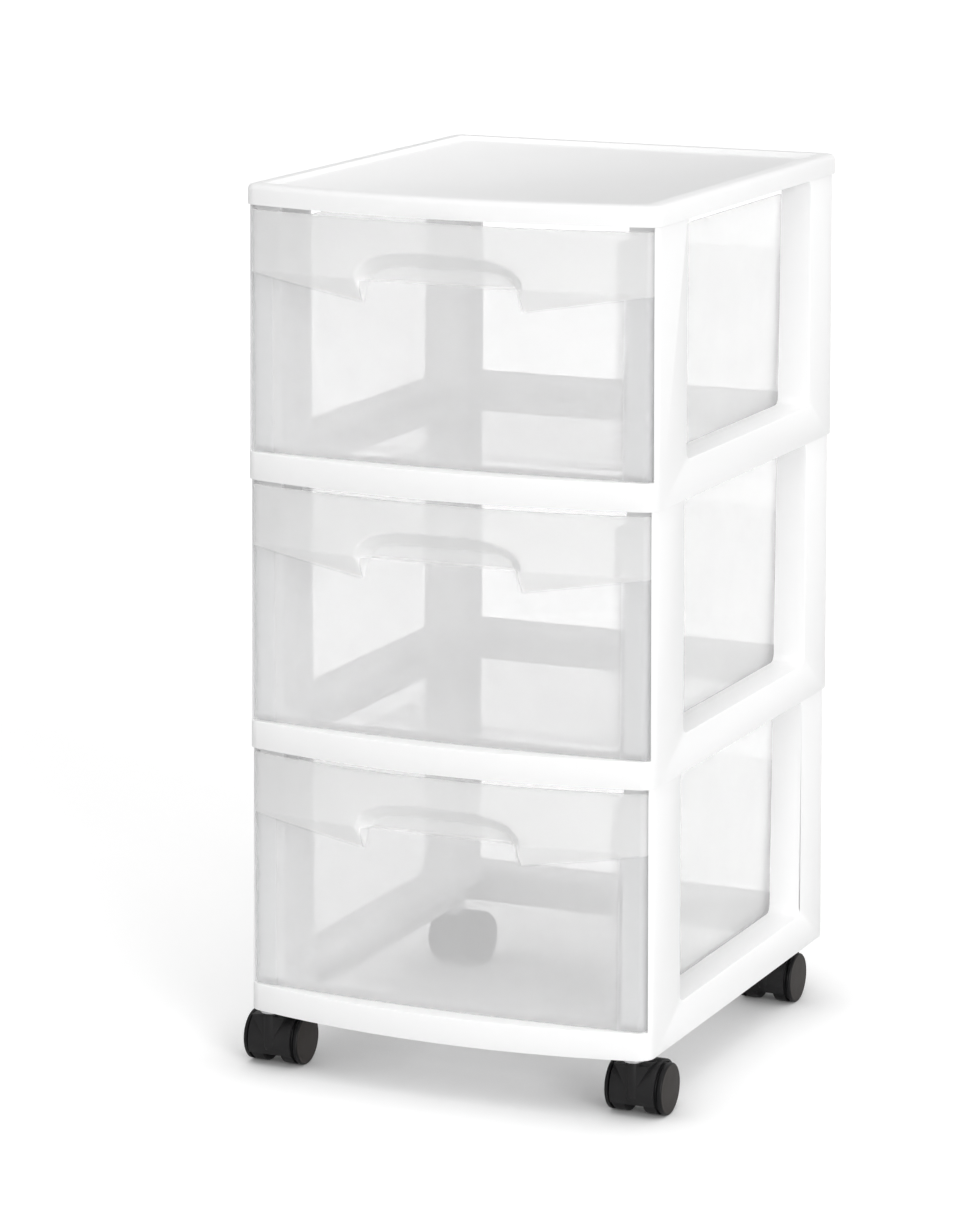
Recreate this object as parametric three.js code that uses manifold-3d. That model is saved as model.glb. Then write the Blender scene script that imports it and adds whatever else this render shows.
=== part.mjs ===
// A three-drawer storage cart on four twin-wheel casters.
// Millimetres, +Z up, the front toward -Y, the floor at z = 0.

import * as THREE from 'three';
import { mergeVertices } from 'three/addons/utils/BufferGeometryUtils.js';
import Module from 'manifold-3d';

const wasm = await Module();
wasm.setup();

// Body outline, seen from above.
const BODY_WIDTH = 305;
const BODY_DEPTH = 372.6;
const FRONT_BOW = 21.5;
const FRONT_CORNER_RADIUS = 12;
const REAR_CORNER_RADIUS = 10;

// Heights, and the gap kept where two pieces touch.
const CASTER_HEIGHT = 43;
const TIER_PITCH = 190.5;
const SEAM = 0.3;

// The moulded frame of one tier.
const SKIN = 2.5;
const FRAME_REVEAL = 24;
const SIDE_RAIL_HEIGHT = 27;
const FRONT_RAIL_HEIGHT = 19.5;
const FRONT_RAIL_DEPTH = 38;
const REAR_RAIL_DEPTH = 24;
const FRONT_POST_DEPTH = 77.3;
const REAR_POST_DEPTH = 54.3;
const POST_FACE_SETBACK = 7.6;
const POST_CORNER_WIDTH = 2.3;
const WINDOW_CORNER_RADIUS = 6;
const TIER_DRAFT = 1.6;
const TENON_HEIGHT = 7;
const TENON_WALL = 2;
const RUNNER_WIDTH = 12.5;
const RUNNER_DECK_STEP = 0.3;
const RUNNER_THICKNESS = 2.5;
const RIB_THICKNESS = 2;

// Top panel.
const TOP_HEIGHT = 14;
const TOP_EDGE_RADIUS = 4;
const TOP_RIM_WIDTH = 11.5;
const TOP_RECESS_DEPTH = 4;

// Drawer.
const DRAWER_WALL = 2.2;
const DRAWER_TOP_GAP = 3.2;
const DRAWER_FRONT_SIDE_GAP = 4.5;
const DRAWER_FRONT_SETBACK = 12;
const DRAWER_FRONT_END_SETBACK = -0.8;
const DRAWER_FRONT_CORNER = 5;
const TUB_SIDE_GAP = 1.5;
const TUB_REAR_GAP = 0.3;
const TUB_DRAFT = 4;
const TUB_CORNER_RADIUS = 13;
const TUB_RIM_DROP = 8.3;
const TUB_BACK_DROP = 43;
const TUB_SHOULDER_LENGTH = 29;
const SILL_OVERLAP = 15.3;
const SILL_HEIGHT = 2.2;
const DRAWER_TRAVEL = 260;
const STOP_NIB_X = 62;
const STOP_NIB_HEIGHT = 2;

// Finger pull: a band that swells forward and slopes back to the wall at its foot. An arched
// pocket with sloping sides is pressed into it, set back behind a small ledge.
const BAND_PROUD = 11;
const BAND_EDGE_DROP = 41.3;
const BAND_FOOT_DROP = 16;
const BAND_FOOT_DROP_AT_END = 2.5;
const ARCH_HALF_WIDTH = 61.5;
const ARCH_RISE = 20.4;
const POCKET_SLOPE = 0.78;
const POCKET_FLARE = 0.37;
const POCKET_SETBACK = 3.5;

// Casters.
const FRONT_CASTER_INSET = [14, 27.3];
const REAR_CASTER_INSET = [26.5, 56.3];
const CASTER_TRAIL = 16;
const WHEEL_RADIUS = 18.3;
const WHEEL_INNER_FACE = 6.2;
const WHEEL_WIDTH = 15.1;
const WHEEL_GROOVE_DEPTH = 1.8;
const HOOD_WALL = 1.6;
const HOOD_CLEARANCE = 0.7;
const HOOD_WIDTH = 32.6;
const AXLE_RADIUS = 2;
const AXLE_CLEARANCE = 0.3;
const DISC_THICKNESS = 2.3;
const PIN_RADIUS = 3.2;
const PIN_CLEARANCE = 0.3;
const PIN_DEPTH_IN_HOOD = 9.6;
const PIN_DEPTH_IN_SOCKET = 14;
const COLLAR_RADIUS = 7.4;
const COLLAR_THICKNESS = 2.1;
const BOSS_RADIUS = 5.8;
const SOCKET_RADIUS = 8;

const HALF_WIDTH = BODY_WIDTH / 2;
const NOSE = -BODY_DEPTH / 2;
const REAR = BODY_DEPTH / 2;
const REVEAL_EDGE = HALF_WIDTH - FRAME_REVEAL;
const FRONT_RAIL_EDGE = NOSE + FRONT_RAIL_DEPTH;
const REAR_RAIL_EDGE = REAR - REAR_RAIL_DEPTH;
const POST_FACE_Y = NOSE + FRONT_BOW + POST_FACE_SETBACK;
const POST_FACE_EDGE = HALF_WIDTH - POST_CORNER_WIDTH;
const FRONT_POST_REAR_EDGE = NOSE + FRONT_POST_DEPTH;
const REAR_POST_FRONT_EDGE = REAR - REAR_POST_DEPTH;
const RUNNER_TOP = FRONT_RAIL_HEIGHT + RUNNER_DECK_STEP;
const DRAWER_BOTTOM = RUNNER_TOP + SEAM;
const DRAWER_TOP = TIER_PITCH - DRAWER_TOP_GAP;
const DRAWER_FRONT_HALF_WIDTH = HALF_WIDTH - DRAWER_FRONT_SIDE_GAP;
const DRAWER_FRONT_NOSE = NOSE + DRAWER_FRONT_SETBACK;
const DRAWER_FRONT_BOW = FRONT_BOW - DRAWER_FRONT_SETBACK + DRAWER_FRONT_END_SETBACK;
const DRAWER_FRONT_BACK_EDGE = POST_FACE_Y - SEAM;
const TUB_RIM_HALF_WIDTH = REVEAL_EDGE - TUB_SIDE_GAP;
const TUB_FLOOR_HALF_WIDTH = TUB_RIM_HALF_WIDTH - TUB_DRAFT;
const TUB_RIM_REAR = REAR_RAIL_EDGE - TUB_REAR_GAP;
const TUB_FLOOR_REAR = TUB_RIM_REAR - TUB_DRAFT;
const TUB_RIM_HEIGHT = DRAWER_TOP - TUB_RIM_DROP;
const TUB_BACK_HEIGHT = TUB_RIM_HEIGHT - TUB_BACK_DROP;
const SILL_REAR_EDGE = FRONT_RAIL_EDGE + SILL_OVERLAP;
const STOP_NIB_Y = FRONT_RAIL_EDGE + SEAM + DRAWER_TRAVEL;
const BAND_HALF_WIDTH = DRAWER_FRONT_HALF_WIDTH - DRAWER_FRONT_CORNER;
const BAND_EDGE_HEIGHT = DRAWER_TOP - BAND_EDGE_DROP;
const BAND_FOOT_HEIGHT = BAND_EDGE_HEIGHT - BAND_FOOT_DROP;
const LEDGE_HEIGHT = BAND_EDGE_HEIGHT - 1;
const POCKET_BACK_Y = DRAWER_FRONT_NOSE + POCKET_SETBACK;
const FRONT_CASTER = [HALF_WIDTH - FRONT_CASTER_INSET[0], NOSE + FRONT_CASTER_INSET[1]];
const REAR_CASTER = [HALF_WIDTH - REAR_CASTER_INSET[0], REAR - REAR_CASTER_INSET[1]];
const WHEEL_OUTER_FACE = WHEEL_INNER_FACE + WHEEL_WIDTH;
const HOOD_HALF_WIDTH = HOOD_WIDTH / 2;
const HOOD_RADIUS = WHEEL_RADIUS + HOOD_CLEARANCE + HOOD_WALL;
const COLLAR_BOTTOM = CASTER_HEIGHT - SEAM - COLLAR_THICKNESS;

// Solids from three.js geometry.

function signedVolume(position, index) {
  const a = new THREE.Vector3();
  const b = new THREE.Vector3();
  const c = new THREE.Vector3();
  let volume = 0;
  for (let i = 0; i < index.length; i += 3) {
    a.fromBufferAttribute(position, index[i]);
    b.fromBufferAttribute(position, index[i + 1]);
    c.fromBufferAttribute(position, index[i + 2]);
    volume += a.dot(b.cross(c)) / 6;
  }
  return volume;
}

function solid(geometry) {
  const bare = new THREE.BufferGeometry();
  bare.setAttribute('position', geometry.getAttribute('position').clone());
  if (geometry.index) {
    bare.setIndex(geometry.index.clone());
  }
  const merged = mergeVertices(bare, 1e-4);
  const position = merged.getAttribute('position');
  const source = merged.index.array;
  const index = [];
  for (let i = 0; i < source.length; i += 3) {
    const [a, b, c] = [source[i], source[i + 1], source[i + 2]];
    if (a !== b && b !== c && c !== a) {
      index.push(a, b, c);
    }
  }
  if (signedVolume(position, index) < 0) {
    for (let i = 0; i < index.length; i += 3) {
      [index[i + 1], index[i + 2]] = [index[i + 2], index[i + 1]];
    }
  }
  const mesh = new wasm.Mesh({
    numProp: 3,
    vertProperties: new Float32Array(position.array),
    triVerts: new Uint32Array(index),
  });
  mesh.merge();
  return new wasm.Manifold(mesh);
}

function box(x0, x1, y0, y1, z0, z1) {
  const geometry = new THREE.BoxGeometry(Math.abs(x1 - x0), Math.abs(y1 - y0), Math.abs(z1 - z0));
  geometry.translate((x0 + x1) / 2, (y0 + y1) / 2, (z0 + z1) / 2);
  return solid(geometry);
}

// A flat outline in X and Y raised from z0 to z1.
function prism(points, z0, z1) {
  const shape = new THREE.Shape(points.map(([x, y]) => new THREE.Vector2(x, y)));
  const geometry = new THREE.ExtrudeGeometry(shape, { depth: z1 - z0, bevelEnabled: false });
  geometry.translate(0, 0, z0);
  return solid(geometry);
}

// A flat outline in X and Z drawn along Y from y0 to y1.
function prismAlongY(points, y0, y1) {
  const shape = new THREE.Shape(points.map(([x, z]) => new THREE.Vector2(x, z)));
  const geometry = new THREE.ExtrudeGeometry(shape, { depth: y1 - y0, bevelEnabled: false });
  geometry.rotateX(Math.PI / 2);
  geometry.translate(0, y1, 0);
  return solid(geometry);
}

// A flat outline in Y and Z drawn along X from x0 to x1.
function prismAlongX(points, x0, x1) {
  const shape = new THREE.Shape(points.map(([y, z]) => new THREE.Vector2(y, z)));
  const geometry = new THREE.ExtrudeGeometry(shape, { depth: x1 - x0, bevelEnabled: false });
  const turn = new THREE.Matrix4().makeBasis(
    new THREE.Vector3(0, 1, 0),
    new THREE.Vector3(0, 0, 1),
    new THREE.Vector3(1, 0, 0),
  );
  geometry.applyMatrix4(turn);
  geometry.translate(x0, 0, 0);
  return solid(geometry);
}

// A skin stretched over closed convex loops of equal length, with flat ends.
function loft(loops) {
  const count = loops[0].length;
  const positions = loops.flat().flat();
  const index = [];
  for (let row = 0; row < loops.length - 1; row += 1) {
    for (let i = 0; i < count; i += 1) {
      const j = (i + 1) % count;
      const low = row * count;
      const high = low + count;
      index.push(low + i, low + j, high + j);
      index.push(low + i, high + j, high + i);
    }
  }
  const last = (loops.length - 1) * count;
  for (let i = 1; i < count - 1; i += 1) {
    index.push(0, i + 1, i);
    index.push(last, last + i, last + i + 1);
  }
  const geometry = new THREE.BufferGeometry();
  geometry.setAttribute('position', new THREE.Float32BufferAttribute(positions, 3));
  geometry.setIndex(index);
  return solid(geometry);
}

// A profile of [radius, height] turned about the vertical line through x, y.
function turned(profile, x, y, segments) {
  const points = profile.map(([r, h]) => new THREE.Vector2(r, h));
  const geometry = new THREE.LatheGeometry(points, segments);
  geometry.rotateX(Math.PI / 2);
  geometry.translate(x, y, 0);
  return solid(geometry);
}

// A profile of [radius, distance along X] turned about the axle line through y, z.
function turnedAlongX(profile, x, y, z, segments) {
  const points = profile.map(([r, a]) => new THREE.Vector2(r, a));
  const geometry = new THREE.LatheGeometry(points, segments);
  geometry.rotateZ(-Math.PI / 2);
  geometry.translate(x, y, z);
  return solid(geometry);
}

function arc(cx, cy, radius, from, to, steps) {
  const points = [];
  for (let i = 0; i <= steps; i += 1) {
    const angle = from + ((to - from) * i) / steps;
    points.push([cx + radius * Math.cos(angle), cy + radius * Math.sin(angle)]);
  }
  return points;
}

function toGeometry(result) {
  const mesh = result.getMesh();
  const geometry = new THREE.BufferGeometry();
  geometry.setAttribute('position', new THREE.Float32BufferAttribute(mesh.vertProperties, 3));
  geometry.setIndex(Array.from(mesh.triVerts));
  return geometry;
}

// Outlines.

// The body seen from above: a bowed front, straight sides and four rounded corners.
function bodyOutline(inset) {
  const big = (HALF_WIDTH ** 2 + FRONT_BOW ** 2) / (2 * FRONT_BOW);
  const bigY = NOSE + big;
  const frontRadius = Math.max(FRONT_CORNER_RADIUS - inset, 0.8);
  const rearRadius = Math.max(REAR_CORNER_RADIUS - inset, 0.8);
  const frontX = HALF_WIDTH - inset - frontRadius;
  const frontY = bigY - Math.sqrt((big - inset - frontRadius) ** 2 - frontX ** 2);
  const rearX = HALF_WIDTH - inset - rearRadius;
  const rearY = REAR - inset - rearRadius;
  const lean = Math.atan2(frontX, bigY - frontY);
  const down = -Math.PI / 2;
  return [
    ...arc(0, bigY, big - inset, down - lean, down + lean, 12),
    ...arc(frontX, frontY, frontRadius, down + lean, 0, 4).slice(1),
    ...arc(rearX, rearY, rearRadius, 0, Math.PI / 2, 3),
    ...arc(-rearX, rearY, rearRadius, Math.PI / 2, Math.PI, 3),
    ...arc(-frontX, frontY, frontRadius, Math.PI, 1.5 * Math.PI - lean, 4).slice(0, -1),
  ];
}

function atHeight(points, z) {
  return points.map(([x, y]) => [x, y, z]);
}

// Tier frame.

// The ring of rails: a channel open below, with a deck on top.
function railRing() {
  const opening = box(-REVEAL_EDGE, REVEAL_EDGE, FRONT_RAIL_EDGE, REAR_RAIL_EDGE, -5, 60);
  const overFront = box(-POST_FACE_EDGE, POST_FACE_EDGE, NOSE - 5, POST_FACE_Y, FRONT_RAIL_HEIGHT, 60);
  const overDeck = box(-REVEAL_EDGE, REVEAL_EDGE, NOSE - 5, FRONT_RAIL_EDGE, FRONT_RAIL_HEIGHT, 60);
  const inner = box(
    -REVEAL_EDGE - SKIN,
    REVEAL_EDGE + SKIN,
    FRONT_RAIL_EDGE - SKIN,
    REAR_RAIL_EDGE + SKIN,
    -5,
    60,
  );
  const lowHollow = prism(bodyOutline(SKIN), -5, FRONT_RAIL_HEIGHT - SKIN).subtract(inner);
  const highHollow = prism(bodyOutline(SKIN), -5, SIDE_RAIL_HEIGHT - SKIN)
    .intersect(box(-HALF_WIDTH, HALF_WIDTH, POST_FACE_Y + SKIN, REAR, -5, 60))
    .subtract(box(-REVEAL_EDGE - SKIN, REVEAL_EDGE + SKIN, NOSE, REAR_RAIL_EDGE + SKIN, -5, 60));
  return prism(bodyOutline(0), 0, SIDE_RAIL_HEIGHT)
    .subtract(opening)
    .subtract(overFront)
    .subtract(overDeck)
    .subtract(lowHollow)
    .subtract(highHollow);
}

// Cross ribs under the deck of the front, rear and side rails.
function railRibs() {
  let ribs = null;
  const add = (rib) => {
    ribs = ribs ? ribs.add(rib) : rib;
  };
  const half = RIB_THICKNESS / 2;
  for (const step of [-2.5, -1.5, -0.5, 0.5, 1.5, 2.5]) {
    const x = (step * (REVEAL_EDGE - FRAME_REVEAL)) / 2.5;
    add(box(x - half, x + half, NOSE, FRONT_RAIL_EDGE - 1, 5, FRONT_RAIL_HEIGHT - 1));
    add(box(x - half, x + half, REAR_RAIL_EDGE + 1, REAR - 1, 5, SIDE_RAIL_HEIGHT - 1));
  }
  const middle = (FRONT_POST_REAR_EDGE + REAR_POST_FRONT_EDGE) / 2;
  const bay = (REAR_POST_FRONT_EDGE - FRONT_POST_REAR_EDGE) / 5;
  for (const side of [-1, 1]) {
    for (const step of [-1.5, -0.5, 0.5, 1.5]) {
      const y = middle + step * bay;
      const inner = side * (REVEAL_EDGE + 1);
      add(box(inner, side * (HALF_WIDTH - 1), y - half, y + half, 5, SIDE_RAIL_HEIGHT - 1));
    }
  }
  return ribs.intersect(prism(bodyOutline(1), 0, SIDE_RAIL_HEIGHT));
}

// A front post: a channel open toward the drawer, its face set back for the drawer front.
function frontPost(side) {
  const body = prism(bodyOutline(0), 1, TIER_PITCH - SEAM);
  const outer = side * (HALF_WIDTH + 5);
  const inner = side * (REVEAL_EDGE - 20);
  const above = TIER_PITCH + 9;
  const rear = FRONT_POST_REAR_EDGE;
  const plan = box(side * REVEAL_EDGE, outer, NOSE, rear, FRONT_RAIL_HEIGHT - SKIN, above);
  const setBack = box(inner, side * POST_FACE_EDGE, NOSE - 5, POST_FACE_Y, FRONT_RAIL_HEIGHT, above);
  const hollow = prism(bodyOutline(SKIN), SIDE_RAIL_HEIGHT - 1, TIER_PITCH - SEAM - SKIN)
    .intersect(box(inner, outer, POST_FACE_Y + SKIN, rear - SKIN, 0, above));
  return body.intersect(plan).subtract(setBack).subtract(hollow);
}

// A rear post: side, rear and window skins round a channel open toward the drawer.
function rearPost(side) {
  const body = prism(bodyOutline(0), SIDE_RAIL_HEIGHT - 1, TIER_PITCH - SEAM);
  const outer = side * (HALF_WIDTH + 5);
  const inner = side * (REVEAL_EDGE - 20);
  const above = TIER_PITCH + 9;
  const plan = box(side * REVEAL_EDGE, outer, REAR_POST_FRONT_EDGE, REAR + 5, 0, above);
  const hollow = prism(bodyOutline(SKIN), SIDE_RAIL_HEIGHT - 1, TIER_PITCH - SEAM - SKIN)
    .intersect(box(inner, outer, REAR_POST_FRONT_EDGE + SKIN, REAR, 0, above));
  return body.intersect(plan).subtract(hollow);
}

// A round in one corner of a side window, from the outer skin to the drawer side.
function windowCorner(side, y, towardY, z, towardZ) {
  const radius = WINDOW_CORNER_RADIUS;
  const centre = [y + towardY * radius, z + towardZ * radius];
  const root = z - Math.max(towardZ, 0);
  const points = [[y - towardY, root], [y - towardY, centre[1]]];
  for (let i = 0; i <= 3; i += 1) {
    const angle = (Math.PI * i) / (towardZ > 0 ? 6 : 7.2);
    points.push([
      centre[0] - towardY * radius * Math.cos(angle),
      centre[1] - towardZ * radius * Math.sin(angle),
    ]);
  }
  points.push([points[points.length - 1][0], root]);
  const x0 = Math.min(side * REVEAL_EDGE, side * HALF_WIDTH);
  const x1 = Math.max(side * REVEAL_EDGE, side * HALF_WIDTH);
  return prismAlongX(points, x0, x1);
}

// The plugs on the post tops that locate the tier or the top panel above.
function tenon(side, y0, y1, inner) {
  const outer = side * (HALF_WIDTH + 5);
  const above = TIER_PITCH + 50;
  const wall = TENON_WALL;
  const plug = prism(bodyOutline(SKIN + SEAM), TIER_PITCH - 2, TIER_PITCH + TENON_HEIGHT)
    .intersect(box(side * inner, outer, y0, y1, 0, above));
  const core = prism(bodyOutline(SKIN + SEAM + wall), TIER_PITCH, TIER_PITCH + 20)
    .intersect(box(side * (inner + wall), outer, y0 + wall, y1 - wall, 0, above));
  return plug.subtract(core);
}

// A round socket for a caster pin, standing under the deck.
function casterSocket(side, [x, y], top) {
  return turned([[0, 0.4], [SOCKET_RADIUS, 0.4], [SOCKET_RADIUS, top], [0, top]], side * x, y, 12);
}

function pinHole(side, [x, y]) {
  const radius = PIN_RADIUS + PIN_CLEARANCE;
  const top = PIN_DEPTH_IN_SOCKET + SEAM;
  return turned([[0, -5], [radius, -5], [radius, top], [0, top]], side * x, y, 12);
}

// The ledge that a drawer slides on.
function runner(side) {
  return box(
    side * (REVEAL_EDGE - RUNNER_WIDTH),
    side * (REVEAL_EDGE + 1),
    FRONT_RAIL_EDGE - 1,
    REAR_RAIL_EDGE + 1,
    RUNNER_TOP - RUNNER_THICKNESS,
    RUNNER_TOP,
  );
}

// The outer faces lean in toward the top, so each tier stands a little proud of the one below.
function leanIn(geometry) {
  const position = geometry.getAttribute('position');
  for (let i = 0; i < position.count; i += 1) {
    const x = position.getX(i);
    const y = position.getY(i);
    const rise = Math.min(Math.max(position.getZ(i) / TIER_PITCH, 0), 1);
    const nearSide = Math.min(Math.max((Math.abs(x) - HALF_WIDTH + 14.5) / 11, 0), 1);
    const nearRear = Math.min(Math.max((y - REAR + 26.3) / 16, 0), 1);
    position.setX(i, x - Math.sign(x) * TIER_DRAFT * rise * nearSide);
    position.setY(i, y - TIER_DRAFT * rise * nearRear);
  }
  return geometry;
}

function tierFrameGeometry() {
  let frame = railRing().add(railRibs());
  const plugX = REVEAL_EDGE + 7;
  const frontPlugY = FRONT_CASTER[1] + SOCKET_RADIUS + 3;
  const rearPlugY = REAR_CASTER[1] + SOCKET_RADIUS + 3;
  for (const side of [-1, 1]) {
    frame = frame
      .add(frontPost(side))
      .add(rearPost(side))
      .add(tenon(side, frontPlugY, FRONT_POST_REAR_EDGE - SKIN - 1.5, plugX))
      .add(tenon(side, rearPlugY, REAR, plugX))
      .add(windowCorner(side, FRONT_POST_REAR_EDGE, 1, SIDE_RAIL_HEIGHT, 1))
      .add(windowCorner(side, FRONT_POST_REAR_EDGE, 1, TIER_PITCH - SEAM, -1))
      .add(windowCorner(side, REAR_POST_FRONT_EDGE, -1, SIDE_RAIL_HEIGHT, 1))
      .add(windowCorner(side, REAR_POST_FRONT_EDGE, -1, TIER_PITCH - SEAM, -1))
      .add(runner(side))
      .add(casterSocket(side, FRONT_CASTER, FRONT_RAIL_HEIGHT - 1))
      .add(casterSocket(side, REAR_CASTER, RUNNER_TOP - 1));
  }
  for (const side of [-1, 1]) {
    frame = frame.subtract(pinHole(side, FRONT_CASTER)).subtract(pinHole(side, REAR_CASTER));
  }
  return leanIn(toGeometry(frame));
}

// Top panel.

// A lid with a rounded edge, a raised rim and a sunk tray, hollow below.
function topPanelGeometry() {
  const edge = [atHeight(bodyOutline(0), 0)];
  for (let i = 0; i <= 3; i += 1) {
    const angle = (Math.PI / 2) * (i / 3);
    const inset = TOP_EDGE_RADIUS * (1 - Math.cos(angle));
    const z = TOP_HEIGHT - TOP_EDGE_RADIUS + TOP_EDGE_RADIUS * Math.sin(angle);
    edge.push(atHeight(bodyOutline(inset), z));
  }
  const floor = TOP_HEIGHT - TOP_RECESS_DEPTH;
  const tray = loft([
    atHeight(bodyOutline(TOP_RIM_WIDTH + 3), floor),
    atHeight(bodyOutline(TOP_RIM_WIDTH + 1.5), floor + 0.8),
    atHeight(bodyOutline(TOP_RIM_WIDTH), TOP_HEIGHT),
    atHeight(bodyOutline(TOP_RIM_WIDTH), TOP_HEIGHT + 3),
  ]);
  const hollow = prism(bodyOutline(SKIN), -2, floor - SKIN);
  let lid = loft(edge).subtract(tray).subtract(hollow);
  const half = RIB_THICKNESS / 2;
  for (const y of [-0.45 * REAR, 0, 0.45 * REAR]) {
    lid = lid.add(box(-HALF_WIDTH + 1.5, HALF_WIDTH - 1.5, y - half, y + half, 1.5, floor - 1));
  }
  for (const x of [-HALF_WIDTH / 2, 0, HALF_WIDTH / 2]) {
    lid = lid.add(box(x - half, x + half, NOSE + FRONT_BOW / 3, REAR - 1.5, 1.5, floor - 1));
  }
  return toGeometry(lid);
}

// Drawer.

function lowerFrontY(x) {
  return DRAWER_FRONT_NOSE + DRAWER_FRONT_BOW * (x / DRAWER_FRONT_HALF_WIDTH) ** 2;
}

function bandFrontY(x) {
  return lowerFrontY(x) - BAND_PROUD * Math.max(1 - (x / BAND_HALF_WIDTH) ** 2, 0);
}

// The band's foot on the wall falls from the ends toward the arch and is level across it.
function bandFootZ(x) {
  const reach = (BAND_HALF_WIDTH - Math.abs(x)) / (BAND_HALF_WIDTH - ARCH_HALF_WIDTH);
  const share = Math.min(Math.max(reach, 0), 1);
  const drop = BAND_FOOT_DROP_AT_END + (BAND_FOOT_DROP - BAND_FOOT_DROP_AT_END) * share;
  return BAND_EDGE_HEIGHT - drop;
}

// The drawer front seen from above, open behind: a shallow bow with turned-back ends.
function frontPlan(inset, back) {
  const half = DRAWER_FRONT_HALF_WIDTH - inset;
  const radius = DRAWER_FRONT_CORNER - inset;
  const turn = DRAWER_FRONT_HALF_WIDTH - DRAWER_FRONT_CORNER;
  const points = [];
  for (let i = 0; i <= 12; i += 1) {
    const x = turn * (i / 6 - 1);
    points.push([x, lowerFrontY(x) + inset]);
  }
  const cornerY = lowerFrontY(turn) + DRAWER_FRONT_CORNER;
  points.push(...arc(turn, cornerY, radius, -Math.PI / 2, 0, 4).slice(1));
  points.push([half, back], [-half, back]);
  points.push(...arc(-turn, cornerY, radius, Math.PI, 1.5 * Math.PI, 4).slice(0, -1));
  return points;
}

// The swelling band: one four-cornered section carried across the front.
function band(inset, lift, top) {
  const loops = [];
  for (let i = 0; i <= 16; i += 1) {
    const x = (BAND_HALF_WIDTH - inset) * (i / 8 - 1);
    loops.push([
      [x, bandFrontY(x) + inset, BAND_EDGE_HEIGHT + lift],
      [x, bandFrontY(x) + inset, top],
      [x, lowerFrontY(x) + inset + 1.2, top],
      [x, lowerFrontY(x) + inset + 1.2, bandFootZ(x) + lift - 1.2],
    ]);
  }
  return loft(loops);
}

// The pocket's outline at one depth: an arch on legs that spread toward the foot.
function pocketOutline(y, grow) {
  const legDepth = y - bandFrontY(ARCH_HALF_WIDTH);
  const half = ARCH_HALF_WIDTH - POCKET_SLOPE * legDepth + grow;
  const rise = ARCH_RISE - POCKET_SLOPE * (y - bandFrontY(0)) + grow;
  const below = BAND_FOOT_DROP + 12;
  const foot = half + (POCKET_FLARE * legDepth * below) / BAND_FOOT_DROP;
  const points = [
    [-foot, y, BAND_EDGE_HEIGHT - below],
    [foot, y, BAND_EDGE_HEIGHT - below],
  ];
  for (let i = 0; i <= 14; i += 1) {
    const t = Math.cos((Math.PI * i) / 14);
    const z = BAND_EDGE_HEIGHT + rise * Math.max(1 - Math.abs(t) ** 3.2, 0) ** (1 / 2.2);
    points.push([half * t, y, z]);
  }
  return points;
}

// The space that the pocket takes from the front, with its walls grown for the inside.
function pocket(grow) {
  return loft([pocketOutline(DRAWER_FRONT_NOSE - 18, grow), pocketOutline(POCKET_BACK_Y + 2.5, grow)]);
}

// The tub seen from above at one height.
function tubOutline(halfWidth, rear, front, z) {
  const radius = TUB_CORNER_RADIUS;
  return atHeight([
    [-halfWidth, front],
    [halfWidth, front],
    ...arc(halfWidth - radius, rear - radius, radius, 0, Math.PI / 2, 5),
    ...arc(-halfWidth + radius, rear - radius, radius, Math.PI / 2, Math.PI, 5),
  ], z);
}

// Side walls, floor and the low back, which lets the drawer be tipped in and out.
function tub() {
  const outer = loft([
    tubOutline(TUB_FLOOR_HALF_WIDTH, TUB_FLOOR_REAR, NOSE, DRAWER_BOTTOM),
    tubOutline(TUB_RIM_HALF_WIDTH, TUB_RIM_REAR, NOSE, TUB_RIM_HEIGHT),
  ]);
  const wall = DRAWER_WALL;
  const inner = loft([
    tubOutline(TUB_FLOOR_HALF_WIDTH - wall, TUB_FLOOR_REAR - wall, NOSE - 9, DRAWER_BOTTOM + wall),
    tubOutline(TUB_RIM_HALF_WIDTH - wall, TUB_RIM_REAR - wall, NOSE - 9, TUB_RIM_HEIGHT + 1),
  ]);
  const shoulder = TUB_RIM_REAR - TUB_SHOULDER_LENGTH;
  const along = (share) => shoulder + share * TUB_SHOULDER_LENGTH;
  const down = (share) => TUB_RIM_HEIGHT - share * TUB_BACK_DROP;
  const overBack = prismAlongX([
    [along(0), down(-0.4)],
    [along(0), down(0)],
    [along(0.16), down(0.03)],
    [along(0.3), down(0.15)],
    [along(0.62), down(0.85)],
    [along(0.76), down(0.97)],
    [along(0.9), down(1)],
    [REAR + 20, down(1)],
    [REAR + 20, down(-0.4)],
  ], -HALF_WIDTH, HALF_WIDTH);
  const sillTop = DRAWER_BOTTOM + SILL_HEIGHT;
  const underSill = box(
    -HALF_WIDTH,
    HALF_WIDTH,
    DRAWER_FRONT_BACK_EDGE + 1,
    SILL_REAR_EDGE - wall,
    0,
    sillTop,
  );
  const half = TUB_FLOOR_HALF_WIDTH - 1;
  const sill = prism([
    [-half, NOSE],
    [half, NOSE],
    ...arc(half - 16, SILL_REAR_EDGE - 12, 12, 0, Math.PI / 2, 5).map(([x, y]) => [x + 4, y]),
    ...arc(-half + 16, SILL_REAR_EDGE - 12, 12, Math.PI / 2, Math.PI, 5).map(([x, y]) => [x - 4, y]),
  ], DRAWER_BOTTOM + 1, sillTop + wall);
  let shell = outer.subtract(inner).subtract(overBack).add(sill).subtract(underSill);
  for (const side of [-1, 1]) {
    shell = shell.add(stopNib(side));
  }
  return shell;
}

// A nib under the floor that meets the front rail when the drawer is fully out.
function stopNib(side) {
  const x = side * STOP_NIB_X;
  return box(x - 8, x + 8, STOP_NIB_Y, STOP_NIB_Y + 5, DRAWER_BOTTOM - STOP_NIB_HEIGHT, DRAWER_BOTTOM + 1);
}

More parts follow.
